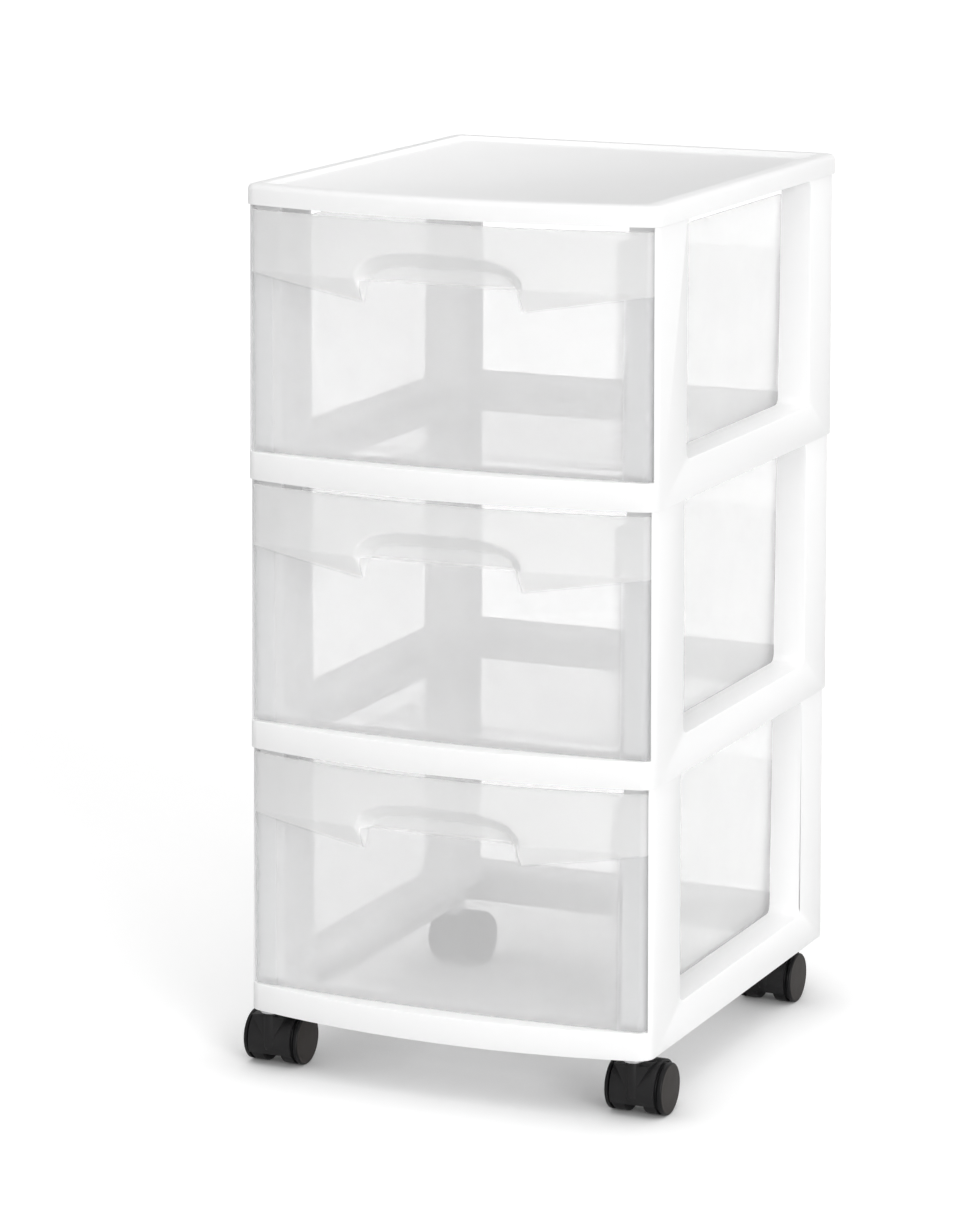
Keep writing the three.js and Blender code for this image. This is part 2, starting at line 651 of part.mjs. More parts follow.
function drawerGeometry() {
  const flat = prism(frontPlan(0, DRAWER_FRONT_BACK_EDGE), DRAWER_BOTTOM, DRAWER_TOP);
  const floorTop = DRAWER_BOTTOM + DRAWER_WALL;
  const flatInside = prism(frontPlan(DRAWER_WALL, POST_FACE_Y + 15), floorTop, DRAWER_TOP + 9);
  const swell = band(0, 0, DRAWER_TOP);
  const swellInside = band(DRAWER_WALL, 0.7, DRAWER_TOP + 9);
  const wallBelow = prism(frontPlan(0, FRONT_POST_REAR_EDGE), 0, TIER_PITCH);
  const reach = ARCH_HALF_WIDTH + 10;
  const overLedge = box(-reach, reach, NOSE - 20, POCKET_BACK_Y, LEDGE_HEIGHT, TIER_PITCH);
  const aroundLedge = box(
    -reach,
    reach,
    NOSE - 20,
    POCKET_BACK_Y + DRAWER_WALL,
    LEDGE_HEIGHT - DRAWER_WALL,
    TIER_PITCH,
  );
  const pocketWall = pocket(DRAWER_WALL * Math.hypot(1, POCKET_SLOPE));
  const outside = flat.add(swell).subtract(pocket(0).subtract(wallBelow.subtract(overLedge)));
  const inside = flatInside
    .add(swellInside.subtract(pocketWall.subtract(flatInside)))
    .subtract(pocketWall.intersect(aroundLedge));
  const start = DRAWER_FRONT_BACK_EDGE - 2;
  const behind = box(-BAND_HALF_WIDTH, BAND_HALF_WIDTH, start, REAR, DRAWER_BOTTOM - 3, DRAWER_TOP);
  return toGeometry(outside.subtract(inside).add(tub().intersect(outside.add(behind))));
}

// Casters.

function stemGeometry(x, y) {
  const top = CASTER_HEIGHT + PIN_DEPTH_IN_SOCKET;
  return toGeometry(turned([
    [0, COLLAR_BOTTOM - PIN_DEPTH_IN_HOOD],
    [PIN_RADIUS - 0.8, COLLAR_BOTTOM - PIN_DEPTH_IN_HOOD],
    [PIN_RADIUS, COLLAR_BOTTOM - PIN_DEPTH_IN_HOOD + 0.8],
    [PIN_RADIUS, COLLAR_BOTTOM],
    [COLLAR_RADIUS, COLLAR_BOTTOM],
    [COLLAR_RADIUS, CASTER_HEIGHT - SEAM],
    [PIN_RADIUS, CASTER_HEIGHT - SEAM],
    [PIN_RADIUS, top - 1.2],
    [PIN_RADIUS - 1.2, top],
    [0, top],
  ], x, y, 12));
}

// A hood over the front and top of both wheels, a core between them and the swivel boss.
function hoodGeometry(x, y) {
  const axleY = y + CASTER_TRAIL;
  const back = Math.PI * 0.11;
  const front = Math.PI * 1.14;
  const shell = prismAlongX([
    ...arc(axleY, WHEEL_RADIUS, HOOD_RADIUS, back, front, 14),
    ...arc(axleY, WHEEL_RADIUS, 10, front, back + 2 * Math.PI, 5),
  ], x - HOOD_HALF_WIDTH, x + HOOD_HALF_WIDTH);
  const boss = turned([
    [0, 13],
    [BOSS_RADIUS - 1.2, 13],
    [BOSS_RADIUS, 16],
    [BOSS_RADIUS, COLLAR_BOTTOM - SEAM],
    [0, COLLAR_BOTTOM - SEAM],
  ], x, y, 12);
  const crown = WHEEL_RADIUS + HOOD_RADIUS - 0.5;
  const web = prismAlongY([[x - 13, crown], [x, 15], [x + 13, crown]], y - BOSS_RADIUS + 1.4, y + 9);
  const reach = WHEEL_RADIUS + HOOD_CLEARANCE;
  const hole = AXLE_RADIUS + AXLE_CLEARANCE;
  const pin = PIN_RADIUS + PIN_CLEARANCE;
  const pinEnd = COLLAR_BOTTOM - PIN_DEPTH_IN_HOOD - PIN_CLEARANCE;
  let hood = shell.add(boss).add(web);
  for (const side of [-1, 1]) {
    const start = side * (WHEEL_INNER_FACE - 0.5);
    const end = side * (HOOD_HALF_WIDTH + 9);
    const well = [[0, start], [reach, start], [reach, end], [0, end]];
    hood = hood.subtract(turnedAlongX(well, x, axleY, WHEEL_RADIUS, 16));
  }
  const axleHole = [[0, -30], [hole, -30], [hole, 30], [0, 30]];
  return toGeometry(hood
    .subtract(turnedAlongX(axleHole, x, axleY, WHEEL_RADIUS, 12))
    .subtract(turned([[0, pinEnd], [pin, pinEnd], [pin, 90], [0, 90]], x, y, 12)));
}

function axleGeometry(x, y) {
  const end = WHEEL_OUTER_FACE - DISC_THICKNESS - AXLE_CLEARANCE;
  return toGeometry(turnedAlongX([
    [0, -end],
    [AXLE_RADIUS, -end],
    [AXLE_RADIUS, end],
    [0, end],
  ], x, y + CASTER_TRAIL, WHEEL_RADIUS, 12));
}

// A wheel: tread, a groove beside the hood's edge and a closed outer disc.
function wheelGeometry(x, y, side) {
  const bore = AXLE_RADIUS + AXLE_CLEARANCE;
  const inner = WHEEL_INNER_FACE;
  const outer = WHEEL_OUTER_FACE;
  const profile = [
    [bore, inner],
    [WHEEL_RADIUS - 1.4, inner],
    [WHEEL_RADIUS, inner + 1.2],
    [WHEEL_RADIUS, HOOD_HALF_WIDTH - 0.4],
    [WHEEL_RADIUS - WHEEL_GROOVE_DEPTH, HOOD_HALF_WIDTH],
    [WHEEL_RADIUS - WHEEL_GROOVE_DEPTH, HOOD_HALF_WIDTH + 1.5],
    [WHEEL_RADIUS, HOOD_HALF_WIDTH + 1.9],
    [WHEEL_RADIUS, outer - 1],
    [WHEEL_RADIUS - 1, outer],
    [0, outer],
    [0, outer - DISC_THICKNESS],
    [bore, outer - DISC_THICKNESS],
    [bore, inner],
  ].map(([r, a]) => [r, side * a]);
  return toGeometry(turnedAlongX(profile, x, y + CASTER_TRAIL, WHEEL_RADIUS, 16));
}

// The cart.

function material(name, colour, roughness, opacity) {
  return new THREE.MeshStandardMaterial({
    name,
    color: colour,
    roughness,
    metalness: 0,
    transparent: opacity < 1,
    opacity,
  });
}

function place(group, name, geometry, look) {
  const mesh = new THREE.Mesh(geometry, look);
  mesh.name = name;
  group.add(mesh);
  return mesh;
}

const WHITE = ['white_moulding', 0xf2f2f0, 0.45, 1];
const CLEAR = ['translucent_moulding', 0xeef1f1, 0.35, 0.55];
const BLACK = ['black_moulding', 0x1e1e1e, 0.45, 1];
const STEEL = ['plated_steel', 0xa8a9ab, 0.3, 1];

function buildCart() {
  const cart = new THREE.Group();
  cart.name = 'drawer_storage_cart';
  ['lower', 'middle', 'upper'].forEach((level, row) => {
    const z = CASTER_HEIGHT + row * TIER_PITCH;
    const frame = tierFrameGeometry();
    frame.translate(0, 0, z);
    place(cart, `tier_frame_${level}`, frame, material(...WHITE));
    const drawer = drawerGeometry();
    drawer.translate(0, 0, z);
    place(cart, `drawer_${level}`, drawer, material(...CLEAR));
  });
  const top = topPanelGeometry();
  top.translate(0, 0, CASTER_HEIGHT + 3 * TIER_PITCH);
  place(cart, 'top_panel', top, material(...WHITE));
  for (const [end, [cx, cy]] of [['front', FRONT_CASTER], ['rear', REAR_CASTER]]) {
    for (const [hand, side] of [['left', -1], ['right', 1]]) {
      const corner = `${end}_${hand}`;
      const x = side * cx;
      place(cart, `caster_stem_${corner}`, stemGeometry(x, cy), material(...STEEL));
      place(cart, `caster_hood_${corner}`, hoodGeometry(x, cy), material(...BLACK));
      place(cart, `caster_axle_${corner}`, axleGeometry(x, cy), material(...STEEL));
      place(cart, `caster_wheel_${corner}_a`, wheelGeometry(x, cy, -1), material(...BLACK));
      place(cart, `caster_wheel_${corner}_b`, wheelGeometry(x, cy, 1), material(...BLACK));
    }
  }
  return cart;
}

export default buildCart();
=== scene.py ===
import math

import bmesh
import bpy
from mathutils import Matrix, Vector


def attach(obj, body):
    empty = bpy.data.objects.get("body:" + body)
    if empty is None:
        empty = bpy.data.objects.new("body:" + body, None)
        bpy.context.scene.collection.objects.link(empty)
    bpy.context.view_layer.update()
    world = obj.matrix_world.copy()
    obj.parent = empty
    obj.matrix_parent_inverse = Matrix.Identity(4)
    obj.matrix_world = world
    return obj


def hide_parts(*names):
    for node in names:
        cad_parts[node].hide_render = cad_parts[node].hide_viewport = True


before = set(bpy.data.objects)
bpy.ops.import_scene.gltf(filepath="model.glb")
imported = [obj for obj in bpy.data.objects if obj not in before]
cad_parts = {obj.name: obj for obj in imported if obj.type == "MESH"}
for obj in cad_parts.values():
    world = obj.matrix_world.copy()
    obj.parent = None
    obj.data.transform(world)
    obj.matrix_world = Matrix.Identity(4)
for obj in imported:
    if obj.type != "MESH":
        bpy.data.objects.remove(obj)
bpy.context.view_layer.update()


# The three tier frames. Each is one white polypropylene moulding with a bowed front
# rail, two side rails and four channel posts; plugs on the posts locate the next tier.
# Gate flow leaves the skin faintly uneven, and the tool gives it a fine satin grain.

class Term:
    """One output of a finish's nodes, used like a number in an expression."""

    def __init__(self, finish, socket):
        self.finish = finish
        self.socket = socket

    def __add__(self, other):
        return self.finish.maths("ADD", self, other)

    def __radd__(self, other):
        return self.finish.maths("ADD", other, self)

    def __sub__(self, other):
        return self.finish.maths("SUBTRACT", self, other)

    def __rsub__(self, other):
        return self.finish.maths("SUBTRACT", other, self)

    def __mul__(self, other):
        return self.finish.maths("MULTIPLY", self, other)

    def __rmul__(self, other):
        return self.finish.maths("MULTIPLY", other, self)


class Finish:
    """A material, put together from nodes."""

    def __init__(self, name):
        self.material = bpy.data.materials.new(name)
        self.material.use_nodes = True
        self.tree = self.material.node_tree
        self.tree.nodes.clear()

    def node(self, kind, settings=None, sockets=None, out=0):
        made = self.tree.nodes.new(kind)
        for setting, value in (settings or {}).items():
            setattr(made, setting, value)
        for socket, value in (sockets or {}).items():
            if isinstance(value, Term):
                self.tree.links.new(value.socket, made.inputs[socket])
            else:
                made.inputs[socket].default_value = value
        return Term(self, made.outputs[out]) if len(made.outputs) else None

    def maths(self, operation, *terms):
        return self.node("ShaderNodeMath", {"operation": operation}, dict(enumerate(terms)))

    def place(self):
        return self.node("ShaderNodeTexCoord", out="Object")

    def axes(self):
        """How far along X, Y and Z a point of the piece lies, in metres."""
        place = self.place()
        return [self.node("ShaderNodeSeparateXYZ", None, {0: place}, out=axis) for axis in "XYZ"]

    def ramp(self, value, start, end):
        """0 up to start, 1 from end on."""
        settings = {"clamp": True}
        sockets = {"Value": value, "From Min": start, "From Max": end}
        return self.node("ShaderNodeMapRange", settings, sockets)

    def cloud(self, scale, detail):
        """Noise from 0 to 1, so many lumps to the metre."""
        sockets = {"Vector": self.place(), "Scale": scale, "Detail": detail}
        return self.node("ShaderNodeTexNoise", None, sockets, out="Fac")

    def tint(self, share, dark, light):
        """A colour between two, by a share from 0 to 1."""
        settings = {"data_type": "RGBA", "clamp_factor": True}
        sockets = {0: share, 6: (*dark, 1.0), 7: (*light, 1.0)}
        return self.node("ShaderNodeMix", settings, sockets, out=2)

    def grain(self, height, depth):
        """The surface pushed in and out by height times depth metres."""
        return self.node("ShaderNodeBump", None, {"Height": height, "Distance": depth})

    def show(self, shader):
        self.node("ShaderNodeOutputMaterial", None, {"Surface": shader})
        return self.material


def white_moulding():
    finish = Finish("white_moulding")
    flow = finish.cloud(9.0, 3.0)
    satin = finish.cloud(1500.0, 2.0)
    ripple = finish.cloud(60.0, 1.0)
    height = satin * 0.5 + ripple * 0.5
    return finish.show(finish.node("ShaderNodeBsdfPrincipled", None, {
        "Base Color": finish.tint(flow, (0.915, 0.913, 0.915), (0.935, 0.933, 0.935)),
        "Roughness": 0.40 + 0.10 * flow,
        "Normal": finish.grain(height, 0.00006),
        "IOR": 1.49,
        "Specular IOR Level": 0.45,
        "Subsurface Weight": 1.0,
        "Subsurface Radius": (1.0, 1.0, 1.0),
        "Subsurface Scale": 0.001,
    }, out="BSDF"))


# Two faces that meet at a wider angle than this share a hard edge.
hard_angle = math.radians(32)


def eased_shading():
    """A modifier group: smooth faces, sharp along the hard edges."""
    group = bpy.data.node_groups.new("eased_shading", "GeometryNodeTree")
    group.interface.new_socket("Mesh", in_out="INPUT", socket_type="NodeSocketGeometry")
    group.interface.new_socket("Mesh", in_out="OUTPUT", socket_type="NodeSocketGeometry")
    nodes = group.nodes
    start = nodes.new("NodeGroupInput")
    end = nodes.new("NodeGroupOutput")
    faces = nodes.new("GeometryNodeSetShadeSmooth")
    faces.domain = "FACE"
    edges = nodes.new("GeometryNodeSetShadeSmooth")
    edges.domain = "EDGE"
    edges.inputs["Shade Smooth"].default_value = False
    angle = nodes.new("GeometryNodeInputMeshEdgeAngle")
    sharp = nodes.new("FunctionNodeCompare")
    sharp.operation = "GREATER_THAN"
    sharp.inputs[1].default_value = hard_angle
    group.links.new(start.outputs[0], faces.inputs["Geometry"])
    group.links.new(faces.outputs[0], edges.inputs["Geometry"])
    group.links.new(angle.outputs["Unsigned Angle"], sharp.inputs[0])
    group.links.new(sharp.outputs[0], edges.inputs["Selection"])
    group.links.new(edges.outputs[0], end.inputs[0])
    return group


shading = eased_shading()


def ease_edges(piece, radius):
    """Rounds a moulding's hard edges, as the tool that forms it does."""
    weld = piece.modifiers.new("weld", "WELD")
    weld.merge_threshold = 0.00002
    flats = piece.modifiers.new("flats", "DECIMATE")
    flats.decimate_type = "DISSOLVE"
    flats.angle_limit = math.radians(0.8)
    ease = piece.modifiers.new("ease", "BEVEL")
    ease.limit_method = "ANGLE"
    ease.angle_limit = hard_angle
    ease.width = radius
    ease.segments = 2
    ease.use_clamp_overlap = True
    piece.modifiers.new("shade", "NODES").node_group = shading


def dress(piece, material):
    piece.data.materials.clear()
    piece.data.materials.append(material)


white = white_moulding()
white_edge = 0.0008
for level in ("lower", "middle", "upper"):
    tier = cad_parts[f"tier_frame_{level}"]
    ease_edges(tier, white_edge)
    dress(tier, white)


# The top panel. One white moulding with a rounded edge, a low rim and a sunk tray,
# ribbed underneath; it drops over the post plugs of the upper tier.

top_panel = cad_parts["top_panel"]
ease_edges(top_panel, white_edge)
dress(top_panel, white)


# The three drawers. Each is one moulding of natural polypropylene, which is milky and
# lets light through; a band across the front swells forward and slopes back at its foot,
# and an arched finger pull is pressed into it. Its sizes are in millimetres.

wall = 2.2
bottom = 20.1
top = 187.3
nose = -174.3  # y of the front's foremost point, between its ends
bow = 8.7  # how far the ends lie behind it
half_front = 148.0
half_band = 143.0
band_proud = 11.0  # how far the band swells forward at the middle


def bowed_wall(x):
    return nose + bow * (x / half_front) ** 2


def band_crest(x):
    return bowed_wall(x) - band_proud * max(1.0 - (x / half_band) ** 2, 0.0)


def soft_ramp(share, ease):
    """0 below 0, 1 above 1, with both bends rounded."""
    if share <= -ease:
        return 0.0
    if share < ease:
        return (share + ease) ** 2 / (4.0 * ease)
    if share <= 1.0 - ease:
        return share
    if share < 1.0 + ease:
        return 1.0 - (1.0 + ease - share) ** 2 / (4.0 * ease)
    return 1.0


def soft_least(a, b, soft):
    """The lesser of two, rounded over where they come within soft of each other."""
    near = max(soft - abs(a - b), 0.0) / soft
    return min(a, b) - near * near * soft / 4.0


band_edge = 146.0  # height where the band's foot ends and the arch begins
foot_end = 143.5  # height of the foot's lower edge where the band runs out
foot_dip = 13.5  # how far that edge has dipped where it meets the pull
half_arch = 61.5
arch_rise = 20.4
arch_power = (3.2, 2.2)  # how square the arch's outline is, across and up
side_steepens = 0.474  # how much steeper the pull's sides stand down the foot


def inside_arch(x, z):
    """How far a point of the front lies inside the pull's arched edge."""
    x = abs(x)
    if z <= band_edge:
        down = min((band_edge - z) / (band_edge - foot_end + foot_dip), 1.0)
        return (half_arch - x) / (1.0 - side_steepens * down)
    low = -4.0
    high = min(half_arch - x, band_edge + arch_rise - z)
    if high <= low:
        return low
    across, up = arch_power
    for step in range(14):
        middle = (low + high) / 2.0
        beside = (x / (half_arch - middle)) ** across
        above = ((z - band_edge) / (arch_rise - middle)) ** up
        if beside + above > 1.0:
            high = middle
        else:
            low = middle
    return low


pull_slope = 0.78  # how far the pull's sides run inward for each mm of depth
pull_back = -170.8  # y of the wall at the back of the pull
ledge = 144.7  # height of the ledge in front of that wall
ledge_rise = 0.7
pull_side, pull_low, pull_high = 66.0, 120.0, 172.0  # beyond these the pull isn't felt


def front_face(x, z):
    """y of the outer face at a place across and up."""
    plain = bowed_wall(x)
    crest = band_crest(x)
    foot = foot_end - foot_dip * min((half_band - abs(x)) / (half_band - half_arch), 1.0)
    tall = band_edge - foot
    proud = (plain - crest) * soft_ramp((z - foot) / tall, min(1.2 / tall, 0.45))
    if abs(x) > pull_side or z < pull_low or z > pull_high:
        return plain - proud
    pocket = plain - crest - inside_arch(x, z) / pull_slope
    back = (plain - pull_back) * soft_ramp((z - ledge) / ledge_rise, 0.4)
    floor = -soft_least(-pocket, -back, 1.0)
    return plain - soft_least(proud, floor, min(1.3, 0.4 * proud + 0.01))


def front_back(x, z):
    """y of the inner face, one wall behind the outer one whichever way it slopes."""
    deepest = front_face(x, z) + wall
    if z > pull_low:
        for reach in (0.9, 1.6, 2.05):
            behind = math.sqrt(wall ** 2 - reach ** 2)
            for turn in range(12):
                angle = math.tau * turn / 12
                face = front_face(x + reach * math.cos(angle), z + reach * math.sin(angle))
                deepest = max(deepest, face + behind)
    return deepest


def steps(start, end, pitch):
    """Even steps from start up to end, which is left out."""
    count = max(round(abs(end - start) / pitch), 1)
    return [start + (end - start) * i / count for i in range(count)]


def drawer_front():
    """Points and faces of the bowed front, its turned-back ends and the strip of floor in it."""
    half = [*steps(0.0, 52.0, 1.0), *steps(52.0, 63.0, 0.4), *steps(63.0, half_band, 2.6)]
    half.append(half_band)
    across = [-x for x in reversed(half[1:])] + half
    up = [*steps(bottom, 126.0, 8.8), *steps(126.0, 170.0, 0.8), *steps(170.0, top, 2.9), top]
    end_radius = 5.0
    end_back = -157.5
    corner = bowed_wall(half_band) + end_radius
    skins = []
    for face, inset in ((front_face, 0.0), (front_back, wall)):
        radius = end_radius - inset
        foot = bottom + inset
        depth = {(abs(x), z): face(abs(x), z) for x in half for z in up}
        columns = []
        turned = [math.radians(a) for a in (-72, -54, -36, -18, 0)]
        ends = [(half_band + radius * math.cos(a), corner + radius * math.sin(a)) for a in turned]
        ends += [(half_band + radius, end_back)]
        for x, y in reversed(ends):
            columns.append([(-x, y, z) for z in up])
        for x in across:
            columns.append([(x, depth[abs(x), z], z) for z in up])
        for x, y in ends:
            columns.append([(x, y, z) for z in up])
        for column in columns:
            column[0] = (*column[0][:2], foot)
        skins.append(columns)
    points = [point for columns in skins for column in columns for point in column]
    wide = len(skins[0])
    tall = len(up)
    inner = wide * tall
    faces = []
    for i in range(wide - 1):
        for j in range(tall - 1):
            a = i * tall + j
            faces.append((a, a + tall, a + tall + 1, a + 1))
            faces.append((inner + a, inner + a + 1, inner + a + tall + 1, inner + a + tall))
        rim = i * tall + tall - 1
        faces.append((rim, rim + tall, inner + rim + tall, inner + rim))
    for first, flip in ((0, False), ((wide - 1) * tall, True)):
        for j in range(tall - 1):
            a = first + j
            side = (a, a + 1, inner + a + 1, inner + a)
            faces.append(side[::-1] if flip else side)
    last = (wide - 1) * tall
    faces.append([i * tall for i in range(wide)][::-1])
    faces.append([inner + i * tall for i in range(wide)])
    faces.append((0, inner, inner + last, last)[::-1])
    return points, faces


def tub():
    """Points and faces of the side walls, the low back and the floor with its raised front."""
    tub_rim = 179.0
    back_drop = 43.0  # how much lower the back stands than the sides
    drop_from, drop_over = 134.5, 24.0  # y where the rim starts to drop, and its way there
    draft = 4.0  # how far the sides lean out from bottom to rim
    half_floor = 123.0
    back = 158.0
    corner = 13.0
    side_end = 149.0  # y where the sides' last straight strip ends
    foot_round = 5.0
    sill_edge = -135.2  # y where the floor steps up toward the front
    sill_rise = 2.2
    straight = [None, *steps(-156.0, -138.0, 9.0), *steps(-138.0, -130.0, 0.8)]
    straight += [*steps(-130.0, 124.0, 18.0), *steps(124.0, side_end, 1.8)]
    bends = [math.radians(9.0 * i) for i in range(11)]
    side = [(y, None) for y in straight] + [(None, bend) for bend in bends]
    rungs = 16
    stations = len(side)

    def point(station, z, inset, tuck):
        """One point of the right side at a height, tucked in from the outer skin."""
        lean = draft * (z - bottom) / (tub_rim - bottom)
        y, bend = side[station]
        radius = corner - inset - tuck
        if bend is not None:
            x = half_floor - corner + lean + radius * math.cos(bend)
            return x, back - corner + lean + radius * math.sin(bend)
        x = half_floor + lean - inset - tuck
        if station == 0:
            return x, front_back(x, z) - 0.3
        return x, y + max((y - 100.0) / (side_end - 100.0), 0.0) * (lean - draft)

    points = []
    faces = []
    rims = []
    for inset in (0.0, wall):
        sheet = []
        for station in range(stations):
            at_rim = point(station, tub_rim, inset, 0.0)[1]
            drop = min(max((at_rim - drop_from) / drop_over, 0.0), 1.0)
            rim = tub_rim - back_drop * drop ** 3 * (6.0 * drop * drop - 15.0 * drop + 10.0)
            y = point(station, bottom, inset, 0.0)[1]
            sill = sill_rise * soft_ramp(sill_edge + inset + 0.5 - y, 0.4)
            floor = bottom + inset + sill
            radius = foot_round - inset
            column = []
            for step in range(5):
                bend = math.radians(22.5 * step)
                z = floor + radius * (1.0 - math.cos(bend))
                tuck = radius * (1.0 - math.sin(bend))
                column.append((*point(station, z, inset, tuck), z))
            foot = column[-1][2]
            for step in range(1, 11):
                z = foot + (rim - foot) * step / 10
                column.append((*point(station, z, inset, 0.0), z))
            sheet.append(column)
        start = len(points)
        columns = [[(-x, y, z) for x, y, z in column] for column in sheet]
        for rung in range(1, rungs):
            share = 2.0 * rung / rungs - 1.0
            columns.append([(x * share, y, z) for x, y, z in sheet[-1]])
        columns += sheet[::-1]
        tall = len(columns[0])
        for column in columns:
            points.extend(column)
        quads = []
        for i in range(len(columns) - 1):
            for j in range(tall - 1):
                a = start + i * tall + j
                quads.append((a, a + tall, a + tall + 1, a + 1))
        across = []
        for station in range(stations):
            x, y, z = sheet[station][0]
            row = [start + station * tall]
            for rung in range(1, rungs):
                if station == stations - 1:
                    row.append(start + (stations + rung - 1) * tall)
                else:
                    row.append(len(points))
                    points.append((x * (2.0 * rung / rungs - 1.0), y, z))
            row.append(start + (2 * stations + rungs - 2 - station) * tall)
            across.append(row)
        for low, high in zip(across, across[1:]):
            for i in range(rungs):
                quads.append((low[i], low[i + 1], high[i + 1], high[i]))
        faces.extend([quad[::-1] for quad in quads] if inset == 0.0 else quads)
        rims.append([start + i * tall + tall - 1 for i in range(len(columns))])
    outer, inner = rims
    for i in range(len(outer) - 1):
        faces.append((outer[i], outer[i + 1], inner[i + 1], inner[i]))
    return points, faces


def stop_nibs():
    """Points and faces of the two nibs under the floor that meet the front rail."""
    half_wide = 7.7
    front, back = 112.0, 117.0
    points = []
    faces = []
    for x in (-62.0, 62.0):
        a = len(points)
        for z, spread in ((18.1, 0.0), (20.3, 0.3)):
            for hand, y in ((-1, front), (1, front), (1, back), (-1, back)):
                points.append((x + hand * (half_wide + spread), y, z))
        faces.append((a + 3, a + 2, a + 1, a))
        for i in range(4):
            j = (i + 1) % 4
            faces.append((a + i, a + j, a + 4 + j, a + 4 + i))
        faces.append((a + 4, a + 5, a + 6, a + 7))
    return points, faces


def moulded(name, *forms):
    """A mesh from forms given in millimetres, with the points they share joined."""
    points = []
    faces = []
    for some, their_faces in forms:
        first = len(points)
        points += [(x / 1000.0, y / 1000.0, z / 1000.0) for x, y, z in some]
        faces += [[first + i for i in face] for face in their_faces]
    mesh = bpy.data.meshes.new(name)
    mesh.from_pydata(points, [], faces)
    tidy = bmesh.new()
    tidy.from_mesh(mesh)
    bmesh.ops.remove_doubles(tidy, verts=tidy.verts, dist=0.000005)
    bmesh.ops.recalc_face_normals(tidy, faces=tidy.faces)
    tidy.to_mesh(mesh)
    tidy.free()
    return mesh


def milky_moulding():
    """Clearer face-on than edge-on, frosted on the band, with shade painted greyer at the front's
    ends.
    """
    finish = Finish("milky_moulding")
    flow = finish.cloud(14.0, 3.0)
    satin = finish.cloud(900.0, 2.0)
    edge_on = finish.node("ShaderNodeLayerWeight", None, {"Blend": 0.35}, out="Facing")
    x, y, z = finish.axes()
    out = finish.maths("ABSOLUTE", x)
    dip = finish.ramp(out, half_band / 1000.0, half_arch / 1000.0)
    beside_pull = finish.ramp(out, 0.0590, 0.0600)
    at_pull = finish.ramp(out, 0.0600, 0.0590)
    foot = foot_end / 1000.0 - foot_dip / 1000.0 * dip * beside_pull + 0.0010 * at_pull
    band = finish.ramp(z - foot, 0.0, 0.0012) * finish.ramp(y, -0.1520, -0.1530)
    # Painted shade: outside the band, the front's ends are painted greyer and less clear, standing
    # in for the frame post that lies in shadow behind them.
    strip = finish.ramp(out, 0.1290, 0.1300) * finish.ramp(y, -0.1480, -0.1500) * (1.0 - band)
    tone_less_painted_shade = 0.97 + 0.03 * flow - 0.9 * strip
    return finish.show(finish.node("ShaderNodeBsdfPrincipled", None, {
        "Base Color": finish.tint(tone_less_painted_shade, (0.76, 0.765, 0.77), (0.985, 0.987, 0.988)),
        "Roughness": 0.29 + 0.06 * flow + 0.12 * band,
        "Alpha": 0.11 + 0.05 * flow + 0.38 * edge_on + 0.34 * band + 0.11 * strip,
        "Subsurface Weight": 1.0,
        "Subsurface Radius": (1.0, 1.0, 1.0),
        "Subsurface Scale": 0.010,
        "Normal": finish.grain(satin, 0.00003),
        "IOR": 1.49,
    }, out="BSDF"))


def soften(piece, radius):
    """Rounds the cut edges of a piece whose faces are already fine."""
    ease = piece.modifiers.new("ease", "BEVEL")
    ease.limit_method = "ANGLE"
    ease.angle_limit = math.radians(50)
    ease.width = radius
    ease.segments = 2
    piece.modifiers.new("shade", "NODES").node_group = shading


drawer_mesh = moulded("drawer", drawer_front(), tub(), stop_nibs())
drawer_mesh.materials.append(milky_moulding())
for level, height in (("lower", 0.0430), ("middle", 0.2335), ("upper", 0.4240)):
    drawer = bpy.data.objects.new(f"{level}_drawer", drawer_mesh)
    drawer.location.z = height
    bpy.context.scene.collection.objects.link(drawer)
    soften(drawer, 0.0005)
    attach(drawer, f"drawer_{level}_body")
    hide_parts(f"drawer_{level}")


# The casters. A plated pin pressed up into the frame's socket carries a black nylon
# hood; a steel axle through the hood carries two black nylon wheels.

def plated_steel():
    finish = Finish("plated_steel")
    smear = finish.cloud(260.0, 3.0)
    return finish.show(finish.node("ShaderNodeBsdfPrincipled", None, {
        "Base Color": finish.tint(smear, (0.50, 0.50, 0.51), (0.66, 0.66, 0.67)),
        "Metallic": 1.0,
        "Roughness": 0.22 + 0.16 * smear,
    }, out="BSDF"))


def black_moulding():
    finish = Finish("black_moulding")
    flow = finish.cloud(90.0, 3.0)
    satin = finish.cloud(2400.0, 2.0)
    return finish.show(finish.node("ShaderNodeBsdfPrincipled", None, {
        "Base Color": finish.tint(flow, (0.010, 0.010, 0.0105), (0.017, 0.0165, 0.017)),
        "Roughness": 0.40 + 0.14 * flow,
        "Specular IOR Level": 0.22,
        "Normal": finish.grain(satin, 0.00003),
    }, out="BSDF"))


def wheel_moulding():
    """Black like the hood, with the closed disc a shade lighter and browner."""
    finish = Finish("wheel_moulding")
    flow = finish.cloud(90.0, 3.0)
    satin = finish.cloud(2400.0, 2.0)
    out = finish.maths("ABSOLUTE", finish.axes()[0])
    disc = finish.ramp(out, 0.0210, 0.0211)
    return finish.show(finish.node("ShaderNodeBsdfPrincipled", None, {
        "Base Color": finish.tint(disc, (0.007, 0.007, 0.0075), (0.024, 0.020, 0.018)),
        "Roughness": 0.36 + 0.10 * flow + 0.06 * disc,
        "Specular IOR Level": 0.22,
        "Normal": finish.grain(satin, 0.00003),
    }, out="BSDF"))


